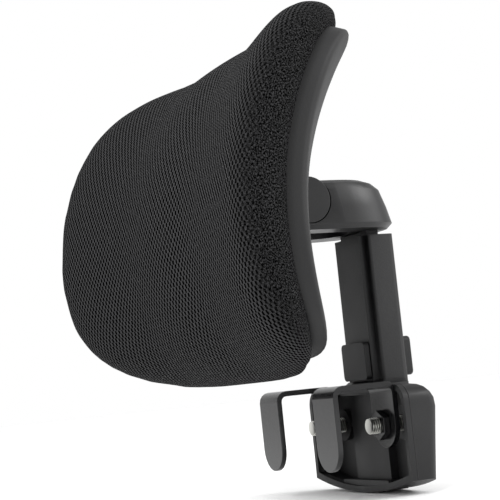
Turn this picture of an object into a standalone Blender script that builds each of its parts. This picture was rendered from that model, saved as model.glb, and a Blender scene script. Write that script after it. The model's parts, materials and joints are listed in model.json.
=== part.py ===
"""Clamp-on headrest for an office chair, modelled as its separate pieces.

Two steel hooks drop over the chair back's top edge and are drawn against a moulded clamp body.
A mast slides up out of the clamp body's post and carries a U-shaped yoke. The padded headrest
tilts on an axle between the yoke's arms. X runs across the chair, -Y is the sitter's side and +Z
is up. Left and right are the sitter's. The origin is midway between the hooks, on their seats.
"""
import math

import bmesh
import bpy
from mathutils import Matrix, Vector

GAP = 0.0003            # clearance between pieces that touch
WALL = 0.003            # moulded wall

# hooks: bent steel strips
HOOK_X = 0.0315         # each hook's centre plane
HOOK_WIDTH = 0.0225
HOOK_THICK = 0.00275
HOOK_BEND = 0.0055      # radius of the strip's outer face in a bend
TONGUE_FACE = -0.0175   # the tongue's outer face
LEG_FACE = 0.0180       # the rear leg's outer face
TONGUE_END = -0.0385
LEG_END = -0.0300

# clamp screws, M8
SCREW_Z = -0.0186
SCREW_RADIUS = 0.004
SCREW_TIP = 0.0065
HEAD_SEAT = 0.0345
HEAD_RADIUS = 0.0065
HEAD_LENGTH = 0.005
NUT_RADIUS = 0.0075     # across the corners
NUT_LENGTH = 0.0034
WASHER_RADIUS = 0.008
WASHER_THICK = 0.0015

# clamp body housing
HOUSING_HALF = 0.0515
HOUSING_TOP = 0.001
HOUSING_SIDE_END = -0.0463
HOUSING_END = -0.0528
HOUSING_FRONT = 0.0165
HOUSING_SHOULDER = 0.009
HOUSING_REAR = 0.0420
HOUSING_REAR_SIDE = 0.0380
HOUSING_ROLL = 0.0125   # height over which the top rear edge rolls over
HOUSING_ROLL_LENGTH = 0.0170
HOUSING_TAPER = 0.0065  # how far the rear face comes forward at the bottom
CAVITY_REAR = 0.0285
CHANNEL_BLOCK_HALF = 0.0178
CHANNEL_BLOCK_FRONT = 0.0240
HOUSING_CORNER = 0.006  # plan radius of the rear corners
RIB_X = 0.0470          # ribs beside the hooks

# post: the tube on the clamp body
POST_HALF = 0.01825
POST_FACE_HALF = 0.013
POST_FRONT = 0.0225
POST_REAR = 0.0410
POST_CORNER = 0.003
POST_TOP = 0.0785
COVE = 0.0026           # radius of the hollow beside the post's front face

# mast: the bar inside the post
MAST_HALF = 0.0142
MAST_FRONT = 0.0268
MAST_REAR = 0.0340
MAST_END = -0.0440
MAST_TOP = 0.0960
MAST_TRAVEL = 0.045
MAST_SLOT_HALF = 0.0039
MAST_SCREW_X = 0.008
MAST_SCREW_Y = (MAST_FRONT + MAST_REAR) / 2
NOTCH_PITCH = 0.0075
NOTCH_DEPTH = 0.0014
NOTCH_X = 0.0086

# height lock
LOCK_Z = 0.0140
BAR_HALF = 0.0035
BAR_HALF_HEIGHT = 0.0040
BAR_END = 0.0412
PAD_HALF = 0.0125
PAD_HALF_HEIGHT = 0.0097
PAD_FACE = 0.0192
NECK_HALF = 0.0115
PAD_CORNER = 0.0025
BUTTON_HALF = 0.0105
BUTTON_HALF_HEIGHT = 0.0102
BUTTON_Z = 0.0150
BUTTON_INNER = 0.0391
BUTTON_FACE = 0.0485
CUP_FLOOR = 0.0425      # floor of the spring's cup inside the button
POCKET_FLOOR = 0.0363
SPRING_RADIUS = 0.0067
SPRING_WIRE = 0.0005
SPRING_TURNS = 3.5

# yoke and tilt hinge
HINGE_Y = -0.013
HINGE_Z = 0.096
YOKE_HALF = 0.032
YOKE_REAR = 0.0421
YOKE_BOTTOM = 0.0810
YOKE_EDGE = 0.0835
YOKE_TOP = 0.1060
LUG_INNER = 0.0144
LUG_OUTER = 0.0232
LUG_RADIUS = 0.0105
KNUCKLE_INNER = 0.0246
KNUCKLE_OUTER = 0.0304
KNUCKLE_RADIUS = 0.0118
BARREL_HALF = 0.0130
BARREL_RADIUS = 0.0090
AXLE_RADIUS = 0.003
AXLE_HEAD_RADIUS = 0.0055
AXLE_HEAD = (0.0269, 0.0300)
PLATE_HALF_HEIGHT = 0.016
THROAT_REAR = 0.0225    # rear end of the opening between the yoke's arms

# headrest pad, in the tilted frame of the hinge: x across, y to the rear, z up along the pad
PAD_TILT = math.radians(11.0)
SHELL_HALF = 0.1267
SHELL_HALF_HEIGHT = 0.0735
SHELL_CENTRE = -0.0078
CUSHION_HALF = 0.1378
CUSHION_HALF_HEIGHT = 0.0852
CUSHION_CENTRE = -0.0067
SHELL_REAR = -0.0145    # the shell's rear face behind the hinge
WRAP_DEPTH = 0.0338     # how far the ends come forward round the head
WRAP_START = 0.034
BULGE_DEPTH = 0.0173    # how far the upper and lower edges lie behind the middle
WRAP_POWER = 1.56
BULGE_POWER = 1.87
RIM_DEPTH = 0.010
CUSHION_DEPTH = 0.0567
CUSHION_THINNING = 0.0228
SHELL_WALL = 0.0026
SQUARENESS = 4.6        # exponent of the pad's outline
HEM_CLEARANCE = 0.0024
COVER_THICK = 0.0016
BOARD_REAR = 0.0057
BOARD_FRONT = 0.0097
SEAT_FACE = -0.0135     # flat mounting seat on the shell
PLATE_REAR = -0.0108
BRACKET_SCREW_X = 0.019
BRACKET_SCREW_ROWS = {"upper": 0.012, "lower": -0.012}
BOARD_SCREW_X = 0.050
SCREW_CLEARANCE = 0.0019
BOARD_SCREW_ROWS = {"upper": 0.021, "lower": -0.047}

SIDES = {"left": 1.0, "right": -1.0}


# ---------------------------------------------------------------- scene and materials
def clear_scene():
    for obj in list(bpy.data.objects):
        bpy.data.objects.remove(obj, do_unlink=True)


def collection(name):
    group = bpy.data.collections.new(name)
    bpy.context.scene.collection.children.link(group)
    return group


def material(name, colour, roughness, metallic=0.0):
    finish = bpy.data.materials.new(name)
    finish.use_nodes = True
    shader = finish.node_tree.nodes["Principled BSDF"]
    shader.inputs["Base Color"].default_value = (*colour, 1.0)
    shader.inputs["Roughness"].default_value = roughness
    shader.inputs["Metallic"].default_value = metallic
    finish.diffuse_color = (*colour, 1.0)
    return finish


clear_scene()
PARTS = collection("chair_headrest")
CUTTERS = collection("cutters")
BLACK_PLASTIC = material("black_plastic", (0.045, 0.045, 0.047), 0.55)
BLACK_STEEL = material("black_steel", (0.06, 0.06, 0.062), 0.35, 0.6)
ZINC = material("zinc_steel", (0.62, 0.62, 0.60), 0.3, 1.0)
SPRING_STEEL = material("spring_steel", (0.35, 0.35, 0.36), 0.35, 1.0)
MESH_FABRIC = material("mesh_fabric", (0.02, 0.02, 0.021), 0.9)
FOAM = material("foam", (0.35, 0.35, 0.33), 0.95)


# ---------------------------------------------------------------- modelling tools
def add_object(name, mesh, finish, parent=None):
    obj = bpy.data.objects.new(name, mesh)
    PARTS.objects.link(obj)
    mesh.materials.clear()
    mesh.materials.append(finish)
    mesh.shade_smooth()
    mesh.set_sharp_from_angle(angle=math.radians(35))
    obj.parent = parent
    return obj


def to_mesh(name, shape):
    mesh = bpy.data.meshes.new(name)
    bmesh.ops.recalc_face_normals(shape, faces=shape.faces)
    shape.to_mesh(mesh)
    shape.free()
    return mesh


def block(low, high):
    shape = bmesh.new()
    size = Vector(high) - Vector(low)
    middle = (Vector(high) + Vector(low)) / 2
    placed = Matrix.Translation(middle) @ Matrix.Diagonal((*size, 1.0))
    bmesh.ops.create_cube(shape, size=1.0, matrix=placed)
    return to_mesh("block", shape)


def rod(radius, start, end, sides=28, end_radius=None):
    shape = bmesh.new()
    run = Vector(end) - Vector(start)
    turn = run.to_track_quat("Z", "Y").to_matrix().to_4x4()
    placed = Matrix.Translation((Vector(start) + Vector(end)) / 2) @ turn
    top = radius if end_radius is None else end_radius
    bmesh.ops.create_cone(shape, cap_ends=True, segments=sides, radius1=radius, radius2=top,
                          depth=run.length, matrix=placed)
    return to_mesh("rod", shape)


def prism(outline, axis, low, high):
    """Extrude a flat outline of (a, b) points along an axis, from low to high."""
    places = {"x": lambda a, b, c: (c, a, b), "y": lambda a, b, c: (a, c, b), "z": lambda a, b, c: (a, b, c)}
    shape = bmesh.new()
    corners = [shape.verts.new(places[axis](a, b, low)) for a, b in outline]
    face = shape.faces.new(corners)
    raised = bmesh.ops.extrude_face_region(shape, geom=[face])["geom"]
    shift = Vector(places[axis](0.0, 0.0, high - low))
    bmesh.ops.translate(shape, vec=shift, verts=[v for v in raised if isinstance(v, bmesh.types.BMVert)])
    return to_mesh("prism", shape)


def loft(rings, close_ends=True):
    """Skin a stack of rings that have the same number of points."""
    shape = bmesh.new()
    rows = [[shape.verts.new(point) for point in ring] for ring in rings]
    count = len(rows[0])
    for lower, upper in zip(rows, rows[1:]):
        for i in range(count):
            j = (i + 1) % count
            shape.faces.new((lower[i], lower[j], upper[j], upper[i]))
    if close_ends:
        shape.faces.new(rows[0])
        shape.faces.new(rows[-1])
    return to_mesh("loft", shape)


def arc(centre, radius, start, end, steps=8):
    points = []
    for i in range(steps + 1):
        angle = math.radians(start + (end - start) * i / steps)
        points.append((centre[0] + radius * math.cos(angle), centre[1] + radius * math.sin(angle)))
    return points


def rounded(a0, a1, b0, b1, radius, steps=6):
    return (arc((a1 - radius, b0 + radius), radius, -90, 0, steps)
            + arc((a1 - radius, b1 - radius), radius, 0, 90, steps)
            + arc((a0 + radius, b1 - radius), radius, 90, 180, steps)
            + arc((a0 + radius, b0 + radius), radius, 180, 270, steps))


def mirrored(right_half):
    """A closed outline from its right half, which runs from one end of the middle line to the other."""
    return right_half + [(-a, b) for a, b in reversed(right_half) if abs(a) > 1e-9]


def cutter(name, mesh, parent=None):
    obj = bpy.data.objects.new(name, mesh)
    CUTTERS.objects.link(obj)
    obj.display_type = "WIRE"
    obj.hide_render = True
    obj.parent = parent
    return obj


def combine(obj, operation, name, mesh, parent=None):
    """Add a Boolean to a piece, with a new tool body made from the mesh."""
    tool = cutter(f"{obj.name}_{name}", mesh, parent)
    step = obj.modifiers.new(name, "BOOLEAN")
    step.operation = operation
    step.solver = "EXACT"
    step.object = tool
    return tool


def bevel(obj, width, segments=2, angle=40):
    step = obj.modifiers.new("edges", "BEVEL")
    step.width = width
    step.segments = segments
    step.limit_method = "ANGLE"
    step.angle_limit = math.radians(angle)
    step.use_clamp_overlap = True


def joined(meshes):
    """Several separate solids in one mesh."""
    shape = bmesh.new()
    for mesh in meshes:
        shape.from_mesh(mesh)
    return to_mesh("group", shape)


def pivot(name, place, tilt=0.0):
    empty = bpy.data.objects.new(name, None)
    PARTS.objects.link(empty)
    empty.location = place
    empty.rotation_euler = (tilt, 0.0, 0.0)
    return empty


# ---------------------------------------------------------------- clamp body with its post
def housing_front_outline(inset):
    half = HOUSING_HALF - inset
    top = HOUSING_TOP - inset
    side_end = HOUSING_SIDE_END + inset
    sag = HOUSING_SIDE_END - HOUSING_END
    bottom = [(half * t / 8, side_end - sag * (1 - (t / 8) ** 2)) for t in range(9)]
    radius = HOUSING_SHOULDER - inset
    return mirrored(bottom + arc((half - radius, top - radius), radius, 0, 90) + [(0.0, top)])


def housing_plan(z):
    """Plan outline of the housing at one height: the rear face tapers downwards and rolls over at the top."""
    roll = max(0.0, z - (HOUSING_TOP - HOUSING_ROLL))
    rolled = HOUSING_ROLL_LENGTH * (1 - math.sqrt(max(0.0, 1 - (roll / HOUSING_ROLL) ** 2)))
    rear_side = HOUSING_REAR_SIDE + HOUSING_TAPER * (z - HOUSING_TOP) / (HOUSING_TOP - HOUSING_END) - rolled
    rise = HOUSING_REAR - HOUSING_REAR_SIDE
    inner = HOUSING_HALF - HOUSING_CORNER
    rear = [(inner * t / 8, rear_side + rise * (1 - (t / 8) ** 2)) for t in range(7, -1, -1)]
    radius = min(HOUSING_CORNER, 0.6 * (rear_side - HOUSING_FRONT))
    corner = arc((HOUSING_HALF - radius, rear_side - radius), radius, 0, 80, 5)
    outline = mirrored([(0.0, HOUSING_FRONT), (HOUSING_HALF, HOUSING_FRONT)] + corner + rear)
    return [(x, y, z) for x, y in outline]


def post_outline(grow=0.0):
    half = POST_HALF + grow
    face = POST_FACE_HALF + grow
    front = POST_FRONT - grow
    rear = POST_REAR + grow
    cove = arc((face + COVE, front), COVE, 180, 90, 5)
    edge_y = front + COVE
    edge = arc((half - 0.0018, edge_y + 0.0018), 0.0018, -90, 0, 4)
    back = arc((half - POST_CORNER, rear - POST_CORNER), POST_CORNER, 0, 90, 4)
    return mirrored([(0.0, front)] + cove + edge + back + [(0.0, rear)])


def build_clamp_body():
    levels = [HOUSING_END - 0.004]
    levels += [HOUSING_TOP - HOUSING_ROLL * (1 - t) for t in (0.0, 0.35, 0.6, 0.8, 0.92)]
    levels += [HOUSING_TOP + 0.0001]
    block_out = prism(housing_front_outline(0.0), "y", HOUSING_FRONT, HOUSING_REAR + 0.013)
    body = add_object("clamp_body", block_out, BLACK_PLASTIC)
    combine(body, "INTERSECT", "plan", loft([housing_plan(z) for z in levels]))
    cavity = prism(housing_front_outline(WALL), "y", HOUSING_FRONT - 0.002, CAVITY_REAR)
    combine(body, "DIFFERENCE", "cavity", cavity)
    combine(body, "UNION", "channel_block",
            block((-CHANNEL_BLOCK_HALF, CHANNEL_BLOCK_FRONT, HOUSING_END + 0.002),
                  (CHANNEL_BLOCK_HALF, CAVITY_REAR + 0.004, HOUSING_TOP - 0.001)))
    combine(body, "UNION", "post", prism(post_outline(), "z", HOUSING_TOP - 0.002, POST_TOP))
    back = arc((POST_HALF - POST_CORNER, POST_REAR - POST_CORNER), POST_CORNER, 0, 90, 4)
    heel = mirrored([(0.0, 0.030), (POST_HALF, 0.030)] + back + [(0.0, POST_REAR)])
    combine(body, "UNION", "post_heel", prism(heel, "z", HOUSING_TOP - 0.014, HOUSING_TOP))
    collar = [[(x, min(y, POST_REAR - 0.0035), z) for x, y in post_outline(grow)]
              for grow, z in ((0.0042, HOUSING_TOP - 0.0040), (0.0040, HOUSING_TOP + 0.0006),
                              (0.0018, HOUSING_TOP + 0.0014), (0.0004, HOUSING_TOP + 0.0028))]
    combine(body, "UNION", "collar", loft(collar))
    ledge = block((-0.0240, 0.0185, HOUSING_END + 0.001),
                  (0.0240, CAVITY_REAR + 0.001, HOUSING_SIDE_END - 0.0005))
    combine(body, "UNION", "ledge", ledge)
    combine(body, "UNION", "cross_rib", block((-HOUSING_HALF + 0.002, 0.0262, SCREW_Z - 0.001),
                                              (HOUSING_HALF - 0.002, CAVITY_REAR + 0.001, SCREW_Z + 0.001)))
    for side, sign in SIDES.items():
        centre = sign * HOOK_X
        half = HOOK_WIDTH / 2 + 0.0006
        combine(body, "DIFFERENCE", f"hook_notch_{side}",
                block((centre - half, HOUSING_FRONT - 0.002, -WALL - 0.002), (centre + half, 0.0262, 0.004)))
        combine(body, "UNION", f"screw_boss_{side}",
                rod(0.0085, (centre, 0.0255, SCREW_Z), (centre, CAVITY_REAR + 0.001, SCREW_Z)))
        combine(body, "DIFFERENCE", f"screw_hole_{side}",
                rod(SCREW_RADIUS + 0.0004, (centre, 0.02, SCREW_Z), (centre, 0.05, SCREW_Z)))
        seat = HEAD_SEAT - WASHER_THICK - GAP
        combine(body, "DIFFERENCE", f"head_recess_{side}",
                rod(WASHER_RADIUS + 0.0006, (centre, seat, SCREW_Z), (centre, 0.05, SCREW_Z)))
        combine(body, "UNION", f"rib_{side}",
                block((sign * RIB_X - 0.001, 0.0215, HOUSING_SIDE_END + 0.001),
                      (sign * RIB_X + 0.001, CAVITY_REAR + 0.001, HOUSING_TOP - 0.002)))
    combine(body, "DIFFERENCE", "mast_channel",
            block((-MAST_HALF - GAP, MAST_FRONT - GAP, MAST_END - 0.002),
                  (MAST_HALF + GAP, MAST_REAR + GAP, POST_TOP + 0.01)))
    combine(body, "DIFFERENCE", "neck_window",
            block((-NECK_HALF - GAP, POST_FRONT - 0.004, LOCK_Z - 0.0053),
                  (NECK_HALF + GAP, MAST_FRONT + 0.001, LOCK_Z + 0.0053)))
    combine(body, "DIFFERENCE", "button_pocket",
            prism(rounded(-BUTTON_HALF - GAP, BUTTON_HALF + GAP, BUTTON_Z - BUTTON_HALF_HEIGHT - GAP,
                          BUTTON_Z + BUTTON_HALF_HEIGHT + GAP, 0.0028), "y", POCKET_FLOOR, 0.046))
    combine(body, "DIFFERENCE", "bar_window",
            block((-BAR_HALF - GAP, MAST_REAR - 0.001, LOCK_Z - BAR_HALF_HEIGHT - GAP),
                  (BAR_HALF + GAP, POCKET_FLOOR + 0.001, LOCK_Z + BAR_HALF_HEIGHT + GAP)))
    return body


# ---------------------------------------------------------------- hooks, nuts and clamp screws
def hook_path(distance):
    """Point (y, z) on the strip's outer face, and its outward normal, at a distance along the strip."""
    tongue = HOOK_THICK - HOOK_BEND - TONGUE_END
    bend = HOOK_BEND * math.pi / 2
    bar = (LEG_FACE - HOOK_BEND) - (TONGUE_FACE + HOOK_BEND)
    if distance <= tongue:
        return TONGUE_FACE, TONGUE_END + distance, -1.0, 0.0
    distance -= tongue
    if distance <= bend:
        angle = math.pi - distance / HOOK_BEND
        y, z = math.cos(angle), math.sin(angle)
        return TONGUE_FACE + HOOK_BEND * (1 + y), HOOK_THICK - HOOK_BEND * (1 - z), y, z
    distance -= bend
    if distance <= bar:
        return TONGUE_FACE + HOOK_BEND + distance, HOOK_THICK, 0.0, 1.0
    distance -= bar
    if distance <= bend:
        angle = math.pi / 2 - distance / HOOK_BEND
        y, z = math.cos(angle), math.sin(angle)
        return LEG_FACE - HOOK_BEND * (1 - y), HOOK_THICK - HOOK_BEND * (1 - z), y, z
    return LEG_FACE, HOOK_THICK - HOOK_BEND - (distance - bend), 1.0, 0.0


def hook_strip():
    """The flat blank with two round ends, bent along the hook's path, in its own outer face."""
    tongue = HOOK_THICK - HOOK_BEND - TONGUE_END
    leg = HOOK_THICK - HOOK_BEND - LEG_END
    bend = HOOK_BEND * math.pi / 2
    bar = (LEG_FACE - HOOK_BEND) - (TONGUE_FACE + HOOK_BEND)
    length = tongue + bend + bar + bend + leg
    end = HOOK_WIDTH / 2
    stops = [end * (1 - math.cos(math.pi / 2 * i / 6)) for i in range(7)]
    stops[0] = end * 0.004
    stops += [tongue] + [tongue + bend * i / 4 for i in range(1, 5)]
    stops += [tongue + bend + bar + bend * i / 4 for i in range(5)]
    stops += [length - stop for stop in reversed(stops[:7])]
    shape = bmesh.new()
    rows = []
    for stop in stops:
        from_end = min(stop, length - stop, end)
        half = math.sqrt(end ** 2 - (end - from_end) ** 2)
        y, z, out_y, out_z = hook_path(stop)
        rows.append([shape.verts.new((half * (i / 2 - 1), y, z)) for i in range(5)])
    for lower, upper in zip(rows, rows[1:]):
        for i in range(4):
            shape.faces.new((lower[i], lower[i + 1], upper[i + 1], upper[i]))
    return to_mesh("strip", shape)


def build_hook(side, sign):
    place = (sign * HOOK_X, LEG_FACE, SCREW_Z)
    blank = hook_strip()
    blank.transform(Matrix.Translation((0.0, -LEG_FACE, -SCREW_Z)))
    hook = add_object(f"hook_{side}", blank, BLACK_STEEL)
    hook.location = place
    strip = hook.modifiers.new("strip", "SOLIDIFY")
    strip.thickness = HOOK_THICK
    strip.offset = -1.0
    tool = combine(hook, "DIFFERENCE", "bolt_hole", rod(SCREW_RADIUS + 0.0004, (0, -0.01, 0), (0, 0.01, 0)))
    tool.location = place
    nut = add_object(f"clamp_nut_{side}", rod(NUT_RADIUS, (0, 0, 0), (0, -NUT_LENGTH, 0), 6), BLACK_STEEL)
    nut.location = (sign * HOOK_X, LEG_FACE - HOOK_THICK - GAP, SCREW_Z)
    bore = combine(nut, "DIFFERENCE", "thread_hole", rod(SCREW_RADIUS + 0.0001, (0, -0.02, 0), (0, 0.02, 0)))
    bore.location = nut.location


def turned(name, profile, finish, place, sides=28):
    """A turned piece: (radius, distance) points along -Y, from the tip to the head."""
    mesh = bpy.data.meshes.new(name)
    points = [(radius, 0.0, distance) for radius, distance in profile]
    mesh.from_pydata(points, [(i, i + 1) for i in range(len(points) - 1)], [])
    obj = add_object(name, mesh, finish)
    step = obj.modifiers.new("turn", "SCREW")
    step.axis = "Z"
    step.steps = sides
    step.render_steps = sides
    step.use_merge_vertices = True
    step.merge_threshold = 0.00001
    step.use_normal_calculate = True
    obj.location = place
    obj.rotation_euler = (math.pi / 2, 0.0, 0.0)
    return obj


def build_clamp_screw(side, sign):
    length = HEAD_SEAT - SCREW_TIP
    chamfer = 0.0007
    profile = [(0.0, length), (SCREW_RADIUS - chamfer, length), (SCREW_RADIUS, length - chamfer),
               (SCREW_RADIUS, 0.0), (HEAD_RADIUS, 0.0), (HEAD_RADIUS, -HEAD_LENGTH + chamfer),
               (HEAD_RADIUS - chamfer, -HEAD_LENGTH), (0.0, -HEAD_LENGTH)]
    place = (sign * HOOK_X, HEAD_SEAT, SCREW_Z)
    screw = turned(f"clamp_screw_{side}", profile, ZINC, place)
    tool = combine(screw, "DIFFERENCE", "hex_socket", rod(0.0029, (0, 0.002, 0), (0, 0.008, 0), 6))
    tool.location = place
    washer = add_object(f"screw_washer_{side}", rod(WASHER_RADIUS, (0, 0, 0), (0, -WASHER_THICK, 0)), ZINC)
    washer.location = (sign * HOOK_X, HEAD_SEAT - GAP, SCREW_Z)
    bore = combine(washer, "DIFFERENCE", "hole", rod(SCREW_RADIUS + GAP, (0, -0.01, 0), (0, 0.01, 0)))
    bore.location = washer.location


# ---------------------------------------------------------------- mast and height lock
def build_mast():
    mast = add_object("mast", block((-MAST_HALF, MAST_FRONT, MAST_END), (MAST_HALF, MAST_REAR, MAST_TOP)),
                      BLACK_PLASTIC)
    slot_top = LOCK_Z + BAR_HALF_HEIGHT + GAP
    slot_end = LOCK_Z - BAR_HALF_HEIGHT - GAP - MAST_TRAVEL
    slot = block((-MAST_SLOT_HALF, 0.02, slot_end), (MAST_SLOT_HALF, 0.04, slot_top))
    combine(mast, "DIFFERENCE", "slot", slot)
    for i in range(7):
        z = LOCK_Z - i * NOTCH_PITCH
        notch = [(MAST_FRONT - 0.001, z - 0.0022), (MAST_FRONT + NOTCH_DEPTH, z - 0.001),
                 (MAST_FRONT + NOTCH_DEPTH, z + 0.001), (MAST_FRONT - 0.001, z + 0.0022)]
        for side, sign in SIDES.items():
            middle = sign * NOTCH_X
            tool = prism(notch, "x", middle - 0.0026, middle + 0.0026)
            combine(mast, "DIFFERENCE", f"notch_{i}_{side}", tool)
    for side, sign in SIDES.items():
        x = sign * MAST_SCREW_X
        pilot = rod(0.0018, (x, MAST_SCREW_Y, 0.080), (x, MAST_SCREW_Y, 0.11), 24)
        combine(mast, "DIFFERENCE", f"pilot_{side}", pilot)


def build_lock():
    pad = rounded(-PAD_HALF, PAD_HALF, -PAD_HALF_HEIGHT, PAD_HALF_HEIGHT, PAD_CORNER)
    slider = add_object("lock_slider", prism(pad, "y", PAD_FACE, POST_FRONT - GAP), BLACK_PLASTIC)
    slider.location = (0.0, 0.0, LOCK_Z)
    pieces = {
        "neck": block((-NECK_HALF, POST_FRONT - 0.001, -0.005), (NECK_HALF, MAST_FRONT - 0.0016, 0.005)),
        "bar": block((-BAR_HALF, POST_FRONT, -BAR_HALF_HEIGHT), (BAR_HALF, BAR_END, BAR_HALF_HEIGHT)),
    }
    for side, sign in SIDES.items():
        x = sign * NOTCH_X
        pieces[f"tooth_{side}"] = block((x - 0.0023, MAST_FRONT - 0.002, -0.0008),
                                        (x + 0.0023, MAST_FRONT - GAP, 0.0008))
    for name, mesh in pieces.items():
        combine(slider, "UNION", name, mesh).location = slider.location
    front = rounded(-BUTTON_HALF, BUTTON_HALF, -BUTTON_HALF_HEIGHT, BUTTON_HALF_HEIGHT, PAD_CORNER)
    button = add_object("release_button", prism(front, "y", BUTTON_INNER, BUTTON_FACE), BLACK_PLASTIC)
    button.location = (0.0, 0.0, BUTTON_Z)
    bevel(button, 0.0006, 1)
    drop = LOCK_Z - BUTTON_Z
    hollow = combine(button, "DIFFERENCE", "spring_cup",
                     rod(SPRING_RADIUS + SPRING_WIRE + GAP, (0, 0.038, drop), (0, CUP_FLOOR, drop)))
    hollow.location = button.location
    stem = block((-BAR_HALF - 0.0012, BAR_END + GAP, drop - 0.004),
                 (BAR_HALF + 0.0012, CUP_FLOOR + 0.0002, drop + 0.004))
    combine(button, "UNION", "stem", stem).location = button.location
    build_lock_spring()


def build_lock_spring():
    """Compression coil between the pocket's floor and the button's cup."""
    low = POCKET_FLOOR + SPRING_WIRE + GAP
    high = CUP_FLOOR - SPRING_WIRE - GAP
    steps = int(SPRING_TURNS * 14)
    curve = bpy.data.curves.new("lock_spring", "CURVE")
    curve.dimensions = "3D"
    curve.bevel_depth = SPRING_WIRE
    curve.bevel_resolution = 2
    curve.use_fill_caps = True
    wire = curve.splines.new("POLY")
    wire.points.add(steps)
    for i, point in enumerate(wire.points):
        angle = 2 * math.pi * SPRING_TURNS * i / steps
        point.co = (SPRING_RADIUS * math.cos(angle), low + (high - low) * i / steps,
                    LOCK_Z + SPRING_RADIUS * math.sin(angle), 1.0)
    coil = bpy.data.objects.new("lock_spring", curve)
    PARTS.objects.link(coil)
    curve.materials.append(SPRING_STEEL)


# ---------------------------------------------------------------- yoke
def yoke_ring(half, rear, z, front=-0.0240):
    """Plan outline of the yoke at one height: straight arms and a round rear."""
    straight = max(rear - half, 0.003)
    rear_arc = arc((0.0, 0.0), 1.0, 0, 90, 10)
    bend = straight * 0.6
    right = [(0.0, front), (half, front), (half, 0.0), (half, bend)]
    right += [(half * math.sqrt(max(a, 0.0)), bend + (rear - bend) * b ** 0.9) for a, b in rear_arc[1:-1]]
    right += [(0.0, rear)]
    return [(x, y, z) for x, y in mirrored(right)]


def build_yoke():
    rings = [yoke_ring(YOKE_HALF - 0.0022, YOKE_REAR - 0.0025, YOKE_BOTTOM),
             yoke_ring(YOKE_HALF, YOKE_REAR, YOKE_EDGE),
             yoke_ring(YOKE_HALF, YOKE_REAR - 0.0025, 0.0920),
             yoke_ring(YOKE_HALF - 0.0002, YOKE_REAR - 0.0060, 0.1010),
             yoke_ring(YOKE_HALF - 0.0012, YOKE_REAR - 0.0100, 0.1042),
             yoke_ring(YOKE_HALF - 0.0040, YOKE_REAR - 0.0150, YOKE_TOP)]
    yoke = add_object("yoke", loft(rings), BLACK_PLASTIC)
    half = LUG_INNER
    throat = [(-half, -0.03), (half, -0.03)] + arc((0.0, THROAT_REAR - half), half, 0, 180, 12)
    combine(yoke, "DIFFERENCE", "throat", prism(throat, "z", YOKE_BOTTOM - 0.01, YOKE_TOP + 0.01))
    combine(yoke, "DIFFERENCE", "mast_socket",
            block((-MAST_HALF - GAP, MAST_FRONT - GAP, YOKE_BOTTOM - 0.01),
                  (MAST_HALF + GAP, MAST_REAR + GAP, MAST_TOP + GAP)))
    for side, sign in SIDES.items():
        inner = (sign * LUG_OUTER, HINGE_Y, HINGE_Z)
        outer = (sign * 0.04, HINGE_Y, HINGE_Z)
        combine(yoke, "DIFFERENCE", f"knuckle_seat_{side}", rod(KNUCKLE_RADIUS + GAP, inner, outer, 44))
        spans = sorted((sign * LUG_OUTER, sign * 0.04))
        combine(yoke, "DIFFERENCE", f"arm_end_{side}",
                block((spans[0], -0.04, 0.07), (spans[1], HINGE_Y - 0.0021, 0.12)))
        spans = sorted((sign * (LUG_INNER - 0.001), sign * (LUG_OUTER + 0.0002)))
        lug_cut = combine(yoke, "DIFFERENCE", f"lug_end_{side}",
                          block((spans[0], -0.04, 0.07), (spans[1], HINGE_Y, 0.12)))
        combine(lug_cut, "DIFFERENCE", "round",
                rod(LUG_RADIUS, (sign * 0.01, HINGE_Y, HINGE_Z), (sign * 0.03, HINGE_Y, HINGE_Z), 44))
        x = sign * MAST_SCREW_X
        y = MAST_SCREW_Y
        combine(yoke, "DIFFERENCE", f"screw_hole_{side}", rod(0.0023, (x, y, 0.092), (x, y, 0.12), 24))
        combine(yoke, "DIFFERENCE", f"screw_recess_{side}", rod(0.0046, (x, y, 0.0990), (x, y, 0.12), 32))
    combine(yoke, "DIFFERENCE", "axle_bore",
            rod(AXLE_RADIUS + 0.0001, (-0.04, HINGE_Y, HINGE_Z), (0.04, HINGE_Y, HINGE_Z), 24))


def build_mast_screws():
    y = MAST_SCREW_Y
    for side, sign in SIDES.items():
        x = sign * MAST_SCREW_X
        shank = rod(0.0015, (x, y, 0.0810), (x, y, 0.0994), 12)
        screw = add_object(f"mast_screw_{side}", shank, BLACK_STEEL)
        combine(screw, "UNION", "head", rod(0.0040, (x, y, 0.0993), (x, y, 0.1016), 20))
        combine(screw, "DIFFERENCE", "drive", rod(0.0016, (x, y, 0.1005), (x, y, 0.104), 6))


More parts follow.
